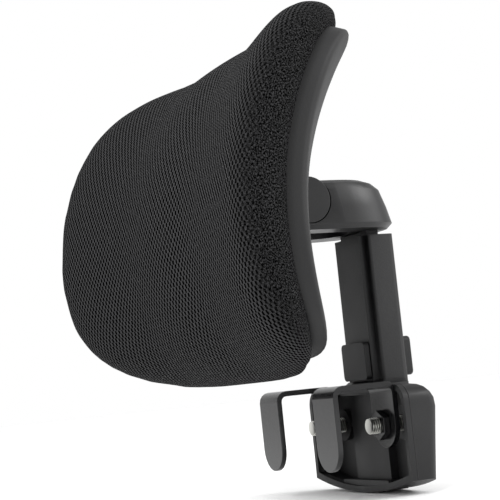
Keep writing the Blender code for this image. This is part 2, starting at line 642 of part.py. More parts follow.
# ---------------------------------------------------------------- tilt hinge
def build_hinge(tilt):
    plate = rounded(-KNUCKLE_OUTER, KNUCKLE_OUTER, -PLATE_HALF_HEIGHT, PLATE_HALF_HEIGHT, 0.004)
    bracket = add_object("hinge_bracket", prism(plate, "y", SEAT_FACE + GAP, PLATE_REAR), BLACK_PLASTIC, tilt)
    seat = SEAT_FACE + GAP + 0.0005
    barrel = rod(BARREL_RADIUS, (-BARREL_HALF, 0, 0), (BARREL_HALF, 0, 0), 36)
    combine(bracket, "UNION", "barrel", barrel, tilt)
    combine(bracket, "UNION", "barrel_web",
            block((-BARREL_HALF, seat, -0.0075), (BARREL_HALF, 0.0, 0.0075)), tilt)
    for side, sign in SIDES.items():
        low, high = sorted((sign * KNUCKLE_INNER, sign * KNUCKLE_OUTER))
        combine(bracket, "UNION", f"web_{side}", block((low, seat, -0.0070), (high, 0.0, 0.0070)), tilt)
        combine(bracket, "UNION", f"knuckle_{side}", rod(KNUCKLE_RADIUS, (low, 0, 0), (high, 0, 0), 44), tilt)
        combine(bracket, "DIFFERENCE", f"recess_{side}",
                rod(0.0062, (sign * 0.0266, 0, 0), (sign * 0.035, 0, 0), 40), tilt)
        for level, height in BRACKET_SCREW_ROWS.items():
            x = sign * BRACKET_SCREW_X
            combine(bracket, "DIFFERENCE", f"screw_{level}_{side}",
                    rod(0.0020, (x, -0.03, height), (x, 0.0, height), 12), tilt)
        inner = sign * (KNUCKLE_OUTER + GAP)
        disc = rod(KNUCKLE_RADIUS - 0.0001, (inner, 0, 0), (sign * YOKE_HALF, 0, 0), 44)
        add_object(f"hinge_cap_{side}", disc, BLACK_PLASTIC, tilt)
    bore = rod(AXLE_RADIUS + 0.0001, (-0.04, 0, 0), (0.04, 0, 0), 24)
    combine(bracket, "DIFFERENCE", "axle_bore", bore, tilt)

    axle = add_object("hinge_axle", rod(AXLE_RADIUS, (-0.0290, 0, 0), (0.0272, 0, 0), 40), ZINC, tilt)
    low, high = AXLE_HEAD
    combine(axle, "UNION", "head", rod(AXLE_HEAD_RADIUS, (low, 0, 0), (high, 0, 0), 24), tilt)
    nut = add_object("axle_nut", rod(AXLE_HEAD_RADIUS, (-low, 0, 0), (-high, 0, 0), 6), ZINC, tilt)
    combine(nut, "DIFFERENCE", "thread_hole", rod(AXLE_RADIUS + 0.0001, (-0.04, 0, 0), (0, 0, 0), 24), tilt)
    gaps = {"inner": (BARREL_HALF + GAP, LUG_INNER - GAP), "outer": (LUG_OUTER + GAP, KNUCKLE_INNER - GAP)}
    for side, sign in SIDES.items():
        for place, (low, high) in gaps.items():
            disc = rod(0.0085, (sign * low, 0, 0), (sign * high, 0, 0), 20)
            washer = add_object(f"friction_washer_{place}_{side}", disc, SPRING_STEEL, tilt)
            hole = rod(AXLE_RADIUS + 0.0004, (-0.04, 0, 0), (0.04, 0, 0), 16)
            combine(washer, "DIFFERENCE", "hole", hole, tilt)
        for level, height in BRACKET_SCREW_ROWS.items():
            x = sign * BRACKET_SCREW_X
            pan_screw(f"bracket_screw_{level}_{side}", x, height, -0.0160, PLATE_REAR, tilt)


def pan_screw(name, x, z, tip, seat, tilt):
    """Pan-head screw pointing towards the sitter."""
    screw = add_object(name, rod(0.0016, (x, tip, z), (x, seat + 0.0008, z), 12), BLACK_STEEL, tilt)
    combine(screw, "UNION", "head", rod(0.0034, (x, seat + GAP, z), (x, seat + 0.0022, z), 16, 0.0026), tilt)


# ---------------------------------------------------------------- headrest pad
def rear_face(x, z):
    """Rear face of the pad's shell: it wraps forward at the ends and bulges forward at mid height."""
    beyond = max(0.0, abs(x) - WRAP_START) / (SHELL_HALF - WRAP_START)
    height = (z - SHELL_CENTRE) / SHELL_HALF_HEIGHT
    return SHELL_REAR - WRAP_DEPTH * beyond ** WRAP_POWER + BULGE_DEPTH * abs(height) ** BULGE_POWER


def pad_ring(scale, depth, half, half_height, centre, sides=36):
    """Ring of points at a fraction of the pad's outline; depth(x) is how far in front of the rear face."""
    ring = []
    for i in range(sides):
        angle = 2 * math.pi * (i + 0.5) / sides
        c, s = math.cos(angle), math.sin(angle)
        reach = (abs(c) ** SQUARENESS + abs(s) ** SQUARENESS) ** (-1 / SQUARENESS)
        x = half * scale * reach * c
        z = centre + half_height * scale * reach * s
        ring.append((x, rear_face(x, z) - depth(x), z))
    return ring


def shell_ring(scale, depth):
    return pad_ring(scale, lambda x: depth, SHELL_HALF, SHELL_HALF_HEIGHT, SHELL_CENTRE)


def cushion_ring(scale, fraction):
    """Ring at a fraction of the cushion's depth, which is fuller in the middle than at the ends."""
    def depth(x):
        full = CUSHION_DEPTH - CUSHION_THINNING * (x / CUSHION_HALF) ** 2
        return RIM_DEPTH + (full - RIM_DEPTH) * fraction
    return pad_ring(scale, depth, CUSHION_HALF, CUSHION_HALF_HEIGHT, CUSHION_CENTRE)


def hem_ring(scale):
    depth = RIM_DEPTH + HEM_CLEARANCE
    return pad_ring(scale, lambda x: depth, CUSHION_HALF, CUSHION_HALF_HEIGHT, CUSHION_CENTRE)


CUSHION_SECTION = ((0.30, 0.99), (0.55, 0.96), (0.75, 0.88), (0.88, 0.76), (0.955, 0.60), (0.99, 0.42),
                   (1.0, 0.26), (0.985, 0.13), (0.955, 0.06))


def build_pad(tilt):
    wall = [(0.12, 0.0), (0.35, 0.0), (0.6, 0.0), (0.82, 0.0), (0.94, 0.0002), (0.98, 0.0012),
            (0.997, 0.0042), (1.0, RIM_DEPTH)]
    open_shell = loft([shell_ring(scale, depth) for scale, depth in wall], close_ends=False)
    middle = bmesh.new()
    middle.from_mesh(open_shell)
    inner = [e for e in middle.edges if e.is_boundary and max(abs(v.co.x) for v in e.verts) < 0.2 * SHELL_HALF
             and e.calc_length() < 0.0035]
    bmesh.ops.holes_fill(middle, edges=inner)
    shell = add_object("back_shell", to_mesh("back_shell", middle), BLACK_PLASTIC, tilt)
    thick = shell.modifiers.new("wall", "SOLIDIFY")
    thick.thickness = SHELL_WALL
    thick.offset = -1.0
    outline = rounded(-0.033, 0.033, -0.018, 0.018, 0.004)
    combine(shell, "DIFFERENCE", "bracket_recess", prism(outline, "y", SEAT_FACE, 0.01), tilt)
    seat = prism(outline, "y", -0.0164, SEAT_FACE)
    combine(shell, "UNION", "bracket_seat", seat, tilt)
    spots = [(sign * BRACKET_SCREW_X, z) for sign in SIDES.values() for z in BRACKET_SCREW_ROWS.values()]
    holes = joined([rod(SCREW_CLEARANCE, (x, -0.03, z), (x, -0.005, z), 12) for x, z in spots])
    combine(shell, "DIFFERENCE", "bracket_screw_holes", holes, tilt)
    fixings = {f"{level}_{side}": (sign * BOARD_SCREW_X, z) for side, sign in SIDES.items()
               for level, z in BOARD_SCREW_ROWS.items()}
    for place, (x, z) in fixings.items():
        seat = rear_face(x, z) - 0.0010
        hole = rod(SCREW_CLEARANCE, (x, -0.06, z), (x, 0.02, z), 12)
        combine(shell, "DIFFERENCE", f"hole_{place}", hole, tilt)
        recess = rod(0.0038, (x, seat, z), (x, seat + 0.009, z), 16)
        combine(shell, "DIFFERENCE", f"recess_{place}", recess, tilt)
        pan_screw(f"board_screw_{place}", x, z, seat - 0.0080, seat, tilt)

    sheet = [shell_ring(s, BOARD_REAR) for s in (0.3, 0.6, 0.8, 0.955)]
    sheet += [shell_ring(s, BOARD_FRONT) for s in (0.955, 0.8, 0.6, 0.3)]
    board = add_object("cushion_board", loft(sheet), BLACK_PLASTIC, tilt)
    board_holes = joined([rod(SCREW_CLEARANCE, (x, -0.06, z), (x, 0.02, z), 12) for x, z in fixings.values()])
    combine(board, "DIFFERENCE", "screw_holes", board_holes, tilt)

    cover_rings = [cushion_ring(0.10, 1.0)] + [cushion_ring(s, f) for s, f in CUSHION_SECTION]
    cover_rings.append(hem_ring(0.90))
    cover = bmesh.new()
    cover.from_mesh(loft(cover_rings, close_ends=False))
    middle = 0.2 * CUSHION_HALF
    inner = [e for e in cover.edges if e.is_boundary and max(abs(v.co.x) for v in e.verts) < middle]
    bmesh.ops.holes_fill(cover, edges=inner)
    fabric = add_object("fabric_cover", to_mesh("fabric_cover", cover), MESH_FABRIC, tilt)
    cloth = fabric.modifiers.new("fabric", "SOLIDIFY")
    cloth.thickness = COVER_THICK
    cloth.offset = -1.0

    foam = add_object("foam_core", loft(cover_rings + [hem_ring(0.7), hem_ring(0.35)]), FOAM, tilt)
    shrink = foam.modifiers.new("inside_cover", "DISPLACE")
    shrink.mid_level = 0.0
    shrink.strength = -(COVER_THICK + 3 * GAP)


build_clamp_body()
for SIDE, SIGN in SIDES.items():
    build_hook(SIDE, SIGN)
    build_clamp_screw(SIDE, SIGN)
build_mast()
build_lock()
build_yoke()
build_mast_screws()
TILT = pivot("tilt_axis", (0.0, HINGE_Y, HINGE_Z), -PAD_TILT)
build_hinge(TILT)
build_pad(TILT)
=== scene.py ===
"""Visual model of a clamp-on chair headrest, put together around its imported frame."""
import json
import math

import bmesh
import bpy
import numpy as np
from mathutils import Matrix, Vector


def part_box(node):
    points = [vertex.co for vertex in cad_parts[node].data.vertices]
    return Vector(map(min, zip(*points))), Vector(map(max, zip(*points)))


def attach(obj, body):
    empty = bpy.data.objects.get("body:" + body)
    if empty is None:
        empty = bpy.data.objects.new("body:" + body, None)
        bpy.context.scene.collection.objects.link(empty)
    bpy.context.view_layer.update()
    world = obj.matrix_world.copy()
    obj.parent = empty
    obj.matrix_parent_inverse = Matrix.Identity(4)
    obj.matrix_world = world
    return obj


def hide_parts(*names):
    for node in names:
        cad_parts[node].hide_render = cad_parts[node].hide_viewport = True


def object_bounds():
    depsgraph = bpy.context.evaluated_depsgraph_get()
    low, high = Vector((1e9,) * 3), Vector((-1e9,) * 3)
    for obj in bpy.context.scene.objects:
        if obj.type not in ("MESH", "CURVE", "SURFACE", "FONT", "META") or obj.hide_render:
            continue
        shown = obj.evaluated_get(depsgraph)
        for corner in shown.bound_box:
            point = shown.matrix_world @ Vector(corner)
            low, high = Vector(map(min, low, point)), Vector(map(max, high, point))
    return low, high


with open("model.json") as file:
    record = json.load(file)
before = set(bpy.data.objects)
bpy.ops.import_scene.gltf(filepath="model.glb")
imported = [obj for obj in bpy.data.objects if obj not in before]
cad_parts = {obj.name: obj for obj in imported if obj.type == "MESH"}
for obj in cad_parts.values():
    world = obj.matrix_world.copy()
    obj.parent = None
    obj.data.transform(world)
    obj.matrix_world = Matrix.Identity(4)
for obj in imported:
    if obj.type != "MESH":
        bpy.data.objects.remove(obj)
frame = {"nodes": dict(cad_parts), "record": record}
CAD_BOX = [list(corner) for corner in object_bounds()]


# ---- Clamp housing and post
# One moulding in glass-filled nylon: an open-fronted box that hides the clamp screws, with the hollow post rising
# from its top. It comes out of a spark-eroded mould, so it is finely pebbled, and every edge is slightly rounded.
def linear(code):
    """Linear colour for an sRGB hex value."""
    parts = [int(code[i:i + 2], 16) / 255 for i in (1, 3, 5)]
    return [c / 12.92 if c <= 0.04045 else ((c + 0.055) / 1.055) ** 2.4 for c in parts] + [1.0]


def add_node(tree, kind, inputs=(), **settings):
    """Adds a node; inputs maps a socket's name or number to a value, or to the socket that feeds it."""
    made = tree.nodes.new(kind)
    for name, value in settings.items():
        setattr(made, name, value)
    for name, value in dict(inputs).items():
        if isinstance(value, bpy.types.NodeSocket):
            tree.links.new(value, made.inputs[name])
        else:
            made.inputs[name].default_value = value
    return made


def new_material(name, **shader):
    """Material with a Principled shader whose sockets take plain values; returns it, its tree and the shader."""
    made = bpy.data.materials.new(name)
    made.use_nodes = True
    tree = made.node_tree
    surface = tree.nodes["Principled BSDF"]
    for socket, value in shader.items():
        surface.inputs[socket.replace("_", " ")].default_value = value
    return made, tree, surface


def two_tones(tree, factor, low, high):
    """Colour ramp between two sRGB hex values; returns its colour socket."""
    ramp = add_node(tree, "ShaderNodeValToRGB", {"Fac": factor})
    for element, (place, code) in zip(ramp.color_ramp.elements, (low, high)):
        element.position = place
        element.color = linear(code)
    return ramp.outputs["Color"]


GRAIN = 0.0006          # pebble of the spark-eroded texture; drawn coarser than the real 0.1 mm so that it shows
GLOSS_SPREAD = 0.06     # how far the roughness drifts either way


def moulded_plastic(name, dark, light, roughness, relief, parting=None):
    """Matt black moulding: pebbled grain in the relief, slow drifts of tone, and at most one parting line, raised in
    the relief and tinted lighter as a painted highlight.
    """
    made, tree, surface = new_material(name, Roughness=roughness, IOR=1.5, Specular_IOR_Level=0.32)
    place = add_node(tree, "ShaderNodeTexCoord").outputs["Object"]
    pebbles = add_node(tree, "ShaderNodeTexNoise", {"Vector": place, "Scale": 1 / GRAIN, "Detail": 2.0,
                                                    "Roughness": 0.6})
    drift = add_node(tree, "ShaderNodeTexNoise", {"Vector": place, "Scale": 35.0, "Detail": 3.0})
    mixed = add_node(tree, "ShaderNodeMath", {0: pebbles.outputs["Fac"], 1: drift.outputs["Fac"]},
                     operation="MULTIPLY")
    colour = two_tones(tree, mixed.outputs["Value"], (0.15, dark), (0.45, light))
    tree.links.new(colour, surface.inputs["Base Color"])
    gloss = add_node(tree, "ShaderNodeMapRange", {"Value": drift.outputs["Fac"], "From Min": 0.3, "From Max": 0.7,
                                                  "To Min": roughness - GLOSS_SPREAD,
                                                  "To Max": roughness + GLOSS_SPREAD})
    tree.links.new(gloss.outputs["Result"], surface.inputs["Roughness"])
    bump = add_node(tree, "ShaderNodeBump", {"Height": pebbles.outputs["Fac"], "Strength": 0.5, "Distance": relief})
    if parting is not None:
        across = add_node(tree, "ShaderNodeSeparateXYZ", {0: place}).outputs["Y"]
        apart = add_node(tree, "ShaderNodeMath", {0: across, 1: parting}, operation="SUBTRACT").outputs["Value"]
        apart = add_node(tree, "ShaderNodeMath", {0: apart}, operation="ABSOLUTE").outputs["Value"]
        line = add_node(tree, "ShaderNodeMapRange", {"Value": apart, "From Max": PARTING_HALF,
                                                     "To Min": 1.0, "To Max": 0.0}).outputs["Result"]
        bump = add_node(tree, "ShaderNodeBump", {"Height": line, "Strength": 1.0, "Distance": PARTING_HALF,
                                                 "Normal": bump.outputs["Normal"]})
        # painted highlight: the parting line's ridge is coloured in the lighter tone, standing in for the light it
        # catches
        painted_line_highlight = add_node(tree, "ShaderNodeMix", {0: line, 6: colour, 7: linear(light)}, data_type="RGBA")
        tree.links.new(painted_line_highlight.outputs[2], surface.inputs["Base Color"])
    tree.links.new(bump.outputs["Normal"], surface.inputs["Normal"])
    return made


PARTING = 0.0197        # where the housing's two mould halves meet, 3 mm behind its rim
PARTING_HALF = 0.0004   # half the width of that line, and how far it stands up
# the housing's parting line is a real ridge with a painted highlight on it
HOUSING = moulded_plastic("black nylon with a parting line", "#0e0e0f", "#1e1e1f", 0.5, 0.00012, PARTING)
NYLON = moulded_plastic("spark textured black nylon", "#0e0e0f", "#1e1e1f", 0.5, 0.00012)


WELD = 0.000005         # corners closer than this are one
FLAT = math.radians(0.6)        # triangles that meet at less than this are one face
MANY_SIDES = 60         # faces with more corners than this are cut up again, so that they shade evenly


def eased(node, width, finish, sharp=30, segments=2):
    """Copy of a CAD node with its triangles merged into faces and its edges rounded, which stands for it."""
    mesh = frame["nodes"][node].data.copy()
    work = bmesh.new()
    work.from_mesh(mesh)
    bmesh.ops.remove_doubles(work, verts=work.verts, dist=WELD)
    bmesh.ops.dissolve_limit(work, angle_limit=FLAT, verts=work.verts, edges=work.edges)
    bmesh.ops.triangulate(work, faces=[f for f in work.faces if len(f.verts) > MANY_SIDES])
    work.to_mesh(mesh)
    work.free()
    mesh.materials.clear()
    mesh.materials.append(finish)
    mesh.shade_smooth()
    mesh.set_sharp_from_angle(angle=math.radians(sharp))
    piece = bpy.data.objects.new(f"{node}_piece", mesh)
    bpy.context.scene.collection.objects.link(piece)
    rounding = piece.modifiers.new("rounded edges", "BEVEL")
    rounding.width = width
    rounding.segments = segments
    rounding.limit_method = "ANGLE"
    rounding.angle_limit = math.radians(sharp)
    rounding.harden_normals = True
    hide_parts(node)
    return piece


def place_on(piece, body):
    """Makes a piece ride on a body."""
    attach(piece, body)


place_on(eased("clamp_body", 0.0007, HOUSING), "clamp")


# ---- Hooks
# Two strips of 2.75 mm steel, sheared, bent into a U and dipped in black enamel. The enamel pools to a semi-gloss
# skin that is thin and bright along the sheared edges.
def enamelled_steel(name, dark, light, roughness):
    """Black enamel over steel: a clear gloss coat over an almost even dark ground with faint orange peel."""
    made, tree, surface = new_material(name, Roughness=roughness, IOR=1.5, Specular_IOR_Level=0.3, Coat_Weight=0.15,
                                       Coat_Roughness=0.14)
    place = add_node(tree, "ShaderNodeTexCoord").outputs["Object"]
    peel = add_node(tree, "ShaderNodeTexNoise", {"Vector": place, "Scale": 420.0, "Detail": 2.0})
    colour = two_tones(tree, peel.outputs["Fac"], (0.3, dark), (0.7, light))
    tree.links.new(colour, surface.inputs["Base Color"])
    bump = add_node(tree, "ShaderNodeBump", {"Height": peel.outputs["Fac"], "Strength": 0.3, "Distance": 0.0001})
    tree.links.new(bump.outputs["Normal"], surface.inputs["Normal"])
    return made


ENAMEL = enamelled_steel("black enamel on steel", "#0c0c0d", "#141415", 0.26)
for side in ("left", "right"):
    place_on(eased(f"hook_{side}", 0.0004, ENAMEL), f"hook_{side}")
    place_on(eased(f"clamp_nut_{side}", 0.0003, ENAMEL), f"hook_{side}")


# ---- Clamp screws
# Bright zinc-plated M8 socket screws with rolled threads of 1.25 mm pitch. The thread is a wave that runs round a
# plain rod as a helix, cut a little deeper than the real one so that the grooves show. The head is cut off the CAD's
# screw and keeps its socket.
def plated_steel(name, code, roughness, painted_groove_shade=False):
    """Zinc over steel: bright metal with faint milky patches, and on a thread painted shade in its grooves."""
    made, tree, surface = new_material(name, Metallic=1.0, Roughness=roughness)
    place = add_node(tree, "ShaderNodeTexCoord").outputs["Object"]
    patches = add_node(tree, "ShaderNodeTexNoise", {"Vector": place, "Scale": 260.0, "Detail": 3.0})
    colour = two_tones(tree, patches.outputs["Fac"], (0.3, code), (0.7, "#d2d2cc"))
    tree.links.new(colour, surface.inputs["Base Color"])
    rough = add_node(tree, "ShaderNodeMapRange", {"Value": patches.outputs["Fac"], "To Min": roughness - 0.06,
                                                  "To Max": roughness + 0.1})
    tree.links.new(rough.outputs["Result"], surface.inputs["Roughness"])
    if painted_groove_shade:
        # painted shade: the thread's grooves are coloured dark by how deep they are cut, standing in for the shade
        # that falls in them
        deep = add_node(tree, "ShaderNodeAttribute", attribute_name="groove").outputs["Fac"]
        shade = add_node(tree, "ShaderNodeMix", {0: deep, 6: colour, 7: linear("#2a2a29")}, data_type="RGBA")
        tree.links.new(shade.outputs[2], surface.inputs["Base Color"])
    return made


ZINC = plated_steel("bright zinc plate", "#a9a9a4", 0.24)
# the thread's zinc carries painted shade in its grooves
THREAD_ZINC = plated_steel("zinc plate on a thread", "#c6c6c1", 0.3, True)
THREAD_RADIUS = 0.00398
THREAD_PITCH = 0.00125
THREAD_DEPTH = 0.0010
THREAD_STEPS = 8        # rings in one pitch
THREAD_SIDES = 28
POSITIVE = 100.0        # whole turns added so that no fraction is taken of a number below nought
FLANK = 2.6             # steepness of a groove's sides, which leaves a narrow flat along the crest


def thread_tree():
    """Geometry Nodes that turn a plain rod along Y into a screw thread."""
    tree = bpy.data.node_groups.new("cut screw thread", "GeometryNodeTree")
    face = tree.interface
    for name, kind in (("Pitch", "NodeSocketFloat"), ("Depth", "NodeSocketFloat"), ("Length", "NodeSocketFloat"),
                       ("Radius", "NodeSocketFloat"), ("Centre", "NodeSocketVector"),
                       ("Finish", "NodeSocketMaterial")):
        face.new_socket(name, in_out="INPUT", socket_type=kind)
    face.new_socket("Geometry", in_out="OUTPUT", socket_type="NodeSocketGeometry")
    given = add_node(tree, "NodeGroupInput").outputs

    def maths(operation, first, second=0.0):
        return add_node(tree, "ShaderNodeMath", {0: first, 1: second}, operation=operation).outputs["Value"]

    rings = maths("MULTIPLY", maths("DIVIDE", given["Length"], given["Pitch"]), float(THREAD_STEPS))
    rod = add_node(tree, "GeometryNodeMeshCylinder",
                   {"Vertices": THREAD_SIDES, "Side Segments": rings, "Radius": given["Radius"],
                    "Depth": given["Length"]})
    spot = add_node(tree, "ShaderNodeSeparateXYZ", {0: add_node(tree, "GeometryNodeInputPosition").outputs[0]})
    turn = maths("DIVIDE", maths("ARCTAN2", spot.outputs["Y"], spot.outputs["X"]), 2 * math.pi)
    phase = maths("FRACT", maths("ADD", maths("DIVIDE", spot.outputs["Z"], given["Pitch"]),
                                 maths("ADD", turn, POSITIVE)))
    groove = maths("MINIMUM", maths("MULTIPLY", maths("PINGPONG", phase, 0.5), FLANK), 1.0)
    cut = maths("MULTIPLY", maths("SUBTRACT", 1.0, groove), given["Depth"])
    reach = maths("DIVIDE", maths("SUBTRACT", given["Radius"], cut), given["Radius"])
    narrow = add_node(tree, "ShaderNodeCombineXYZ", {"X": maths("MULTIPLY", spot.outputs["X"], reach),
                                                     "Y": maths("MULTIPLY", spot.outputs["Y"], reach),
                                                     "Z": spot.outputs["Z"]})
    threaded = add_node(tree, "GeometryNodeSetPosition", {"Geometry": rod.outputs["Mesh"],
                                                          "Position": narrow.outputs["Vector"]})
    marked = add_node(tree, "GeometryNodeStoreNamedAttribute",
                      {"Geometry": threaded.outputs["Geometry"], "Name": "groove",
                       "Value": maths("SUBTRACT", 1.0, groove)})
    laid = add_node(tree, "GeometryNodeTransform", {"Geometry": marked.outputs["Geometry"],
                                                    "Rotation": (math.pi / 2, 0.0, 0.0),
                                                    "Translation": given["Centre"]})
    real = add_node(tree, "GeometryNodeRealizeInstances", {"Geometry": laid.outputs["Geometry"]})
    done = add_node(tree, "GeometryNodeSetMaterial", {"Geometry": real.outputs["Geometry"],
                                                      "Material": given["Finish"]})
    add_node(tree, "NodeGroupOutput", {"Geometry": done.outputs["Geometry"]})
    return tree


def grown(name, tree, values):
    """Plain mesh piece from a node tree and the values of its named inputs."""
    mould = bpy.data.objects.new("mould", bpy.data.meshes.new("mould"))
    bpy.context.scene.collection.objects.link(mould)
    grow = mould.modifiers.new("grow", "NODES")
    grow.node_group = tree
    sockets = {s.name: s.identifier for s in tree.interface.items_tree if s.in_out == "INPUT"}
    for label, value in values.items():
        grow[sockets[label]] = value
    mesh = bpy.data.meshes.new_from_object(mould.evaluated_get(bpy.context.evaluated_depsgraph_get()))
    bpy.data.objects.remove(mould)
    mesh.name = name
    piece = bpy.data.objects.new(name, mesh)
    bpy.context.scene.collection.objects.link(piece)
    return piece


CUT_THREAD = thread_tree()
HEAD_FACE = 0.0345      # where the head meets the washer
THREAD_SHORT = 0.0004   # how much shorter than its rod the thread is, half of it at each end
HEAD_CUT = 0.0002       # how far in front of that face the head's piece begins, where the thread ends
for side in ("left", "right"):
    low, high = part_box(f"clamp_screw_{side}")
    middle = ((low[0] + high[0]) / 2, (low[1] + HEAD_FACE) / 2, (low[2] + high[2]) / 2)
    thread = grown(f"screw_thread_{side}", CUT_THREAD,
                   {"Pitch": THREAD_PITCH, "Depth": THREAD_DEPTH, "Length": HEAD_FACE - low[1] - THREAD_SHORT,
                    "Radius": THREAD_RADIUS, "Centre": middle, "Finish": THREAD_ZINC})
    place_on(thread, f"screw_{side}")
    head = eased(f"clamp_screw_{side}", 0.0003, ZINC)
    trim = bmesh.new()
    trim.from_mesh(head.data)
    bmesh.ops.bisect_plane(trim, geom=trim.verts[:] + trim.edges[:] + trim.faces[:], dist=0.000001,
                           plane_co=(0, HEAD_FACE - HEAD_CUT, 0), plane_no=(0, 1, 0), clear_inner=True)
    bmesh.ops.holes_fill(trim, edges=[e for e in trim.edges if e.is_boundary])
    trim.to_mesh(head.data)
    trim.free()
    place_on(head, f"screw_{side}")
    place_on(eased(f"screw_washer_{side}", 0.0002, ZINC), "clamp")


# ---- Height lock, mast and yoke
# The lock pad and the rear button are one moulded slider in two halves. The mast is a plain moulded bar that rides
# in the post, and the yoke is a thick moulding screwed to its top, polished a little finer than the post. The hinge's
# bracket and end caps match the yoke.
SATIN = moulded_plastic("satin black nylon", "#0d0d0e", "#181819", 0.42, 0.00006)
place_on(eased("lock_slider", 0.0014, NYLON), "lock")
place_on(eased("release_button", 0.0008, NYLON), "lock")
place_on(eased("mast", 0.0005, SATIN), "mast")
place_on(eased("yoke", 0.0009, SATIN, 24, 3), "mast")
for side in ("left", "right"):
    place_on(eased(f"hinge_cap_{side}", 0.0004, SATIN), "headrest")
    place_on(eased(f"mast_screw_{side}", 0.0002, ENAMEL), "mast")
place_on(eased("hinge_bracket", 0.0006, SATIN), "headrest")


# ---- Back shell
# A single injection-moulded dish, 2.6 mm thick, that wraps round behind the head. Its rim is a flat band about
# 10 mm deep with a soft outer edge, and the cushion's hem tucks in behind it.
HINGE = Vector((0.0, -0.013, 0.096))
LEAN = math.radians(11.0)
SHELL_HALF = 0.1282
SHELL_HALF_HEIGHT = 0.0735
SHELL_CENTRE = -0.0070
SHELL_REAR = -0.0145    # depth of the rear face at its middle, from the hinge
WRAP_DEPTH = 0.0338     # how far the ends come forward, from where they start, and how sharply
WRAP_START = 0.034
WRAP_POWER = 1.56
BULGE_DEPTH = 0.0173    # how far the rear face falls back at its upper and lower edges
BULGE_POWER = 1.87
EAR_RISE = 0.0095       # how much higher the rim stands at the upper corners
EAR_POWER = 4           # how close to the ends that rise is kept
RIM_DEPTH = 0.010
CORNER_POWER = 4.6      # 2 is an ellipse, and more is squarer
TILTED = Matrix.Translation(HINGE) @ Matrix.Rotation(-LEAN, 4, "X")      # from the upright dish to its place
UPRIGHT = TILTED.inverted()


def rear_face(x, z):
    """Depth of the dish's rear face: it comes forward at the ends, and falls back above and below the middle."""
    beyond = max(0.0, abs(x) - WRAP_START) / (SHELL_HALF - WRAP_START)
    height = abs(z - SHELL_CENTRE) / SHELL_HALF_HEIGHT
    return SHELL_REAR - WRAP_DEPTH * beyond ** WRAP_POWER + BULGE_DEPTH * height ** BULGE_POWER


def outline(count, half, half_height, power=CORNER_POWER):
    """Points round the edge of a rounded oblong."""
    for i in range(count):
        angle = 2 * math.pi * (i + 0.5) / count
        c, s = math.cos(angle), math.sin(angle)
        reach = (abs(c) ** power + abs(s) ** power) ** (-1 / power)
        yield half * reach * c, half_height * reach * s


def lofted(name, rings, finish):
    """Closed skin over rings of points that all have the same count, filled at both ends."""
    work = bmesh.new()
    rows = [[work.verts.new(p) for p in ring] for ring in rings]
    for one, two in zip(rows, rows[1:]):
        for i, a in enumerate(one):
            j = (i + 1) % len(one)
            work.faces.new((a, one[j], two[j], two[i]))
    for row in (rows[0], rows[-1]):
        work.faces.new(row)
    bmesh.ops.recalc_face_normals(work, faces=work.faces)
    bmesh.ops.transform(work, matrix=TILTED, verts=work.verts)
    mesh = bpy.data.meshes.new(name)
    work.to_mesh(mesh)
    work.free()
    mesh.materials.append(finish)
    mesh.shade_smooth()
    piece = bpy.data.objects.new(name, mesh)
    bpy.context.scene.collection.objects.link(piece)
    return piece


def dish_ring(scale, depth, count=112):
    """One ring of the dish: its outline scaled about the middle, and so far in front of the rear face."""
    ring = []
    for x, z in outline(count, SHELL_HALF * scale, SHELL_HALF_HEIGHT * scale):
        z += EAR_RISE * max(0.0, z) / SHELL_HALF_HEIGHT * (abs(x) / SHELL_HALF) ** EAR_POWER + SHELL_CENTRE
        ring.append((x, rear_face(x, z) - depth, z))
    return ring


SHELL_NYLON = moulded_plastic("fine matt black nylon", "#080809", "#131314", 0.62, 0.00008)
WALL = 0.0026
# Each ring as (share of the outline, distance in front of the rear face), from the middle of the rear round the rim.
REAR_SHARES = (0.04, 0.1, 0.18, 0.26, 0.34, 0.42, 0.5, 0.58, 0.66, 0.74, 0.82, 0.88, 0.92)
OUTSIDE = [(s, 0.0) for s in REAR_SHARES]
OUTSIDE += [(0.955, 0.0), (0.978, 0.0001), (0.989, 0.0004), (0.9955, 0.0010), (0.999, 0.0018), (1.0, 0.0028),
            (1.0, 0.0060), (1.0, RIM_DEPTH - 0.0004), (0.9985, RIM_DEPTH)]
INSIDE = [(0.984, RIM_DEPTH), (0.982, RIM_DEPTH - 0.0005), (0.98, 0.006), (0.965, 0.0036), (0.93, WALL),
          (0.8, WALL), (0.5, WALL), (0.2, WALL), (0.04, WALL)]
shell = lofted("back_shell_piece", [dish_ring(s, d) for s, d in OUTSIDE + INSIDE], SHELL_NYLON)
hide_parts("back_shell")
place_on(shell, "headrest")


# ---- Cushion
# A foam pad in a cover of black three-layer air mesh, pulled over a board and tucked behind the rim. The foam pushes
# the cover out between its edges, which is what the cloth step gives. The cloth shows as staggered lines of small
# holes, and is stretched at both ends, where the lines break up.
CUSHION_HALF = 0.1368
CUSHION_HALF_HEIGHT = 0.0862
CUSHION_CENTRE = -0.0058
CUSHION_DEPTH = 0.0560
CUSHION_THINNING = 0.0185       # how much less deep the pad is at its ends than at its middle
TUCK = -0.06            # depth, as a share of the full one, at which the cover lies flat behind the rim
# The pad's edge as (share of the outline, share of the full depth), from the middle of its front to behind the rim.
SECTION = ((0.0, 1.0), (0.30, 0.99), (0.55, 0.96), (0.77, 0.90), (0.90, 0.79), (0.965, 0.63), (0.993, 0.44),
           (1.003, 0.26), (0.995, 0.11), (0.965, 0.015), (0.93, -0.02), (0.88, TUCK))
BEHIND = (0.75, 0.6, 0.45, 0.3, 0.15, 0.04)     # shares of the outline at which the cover goes on behind


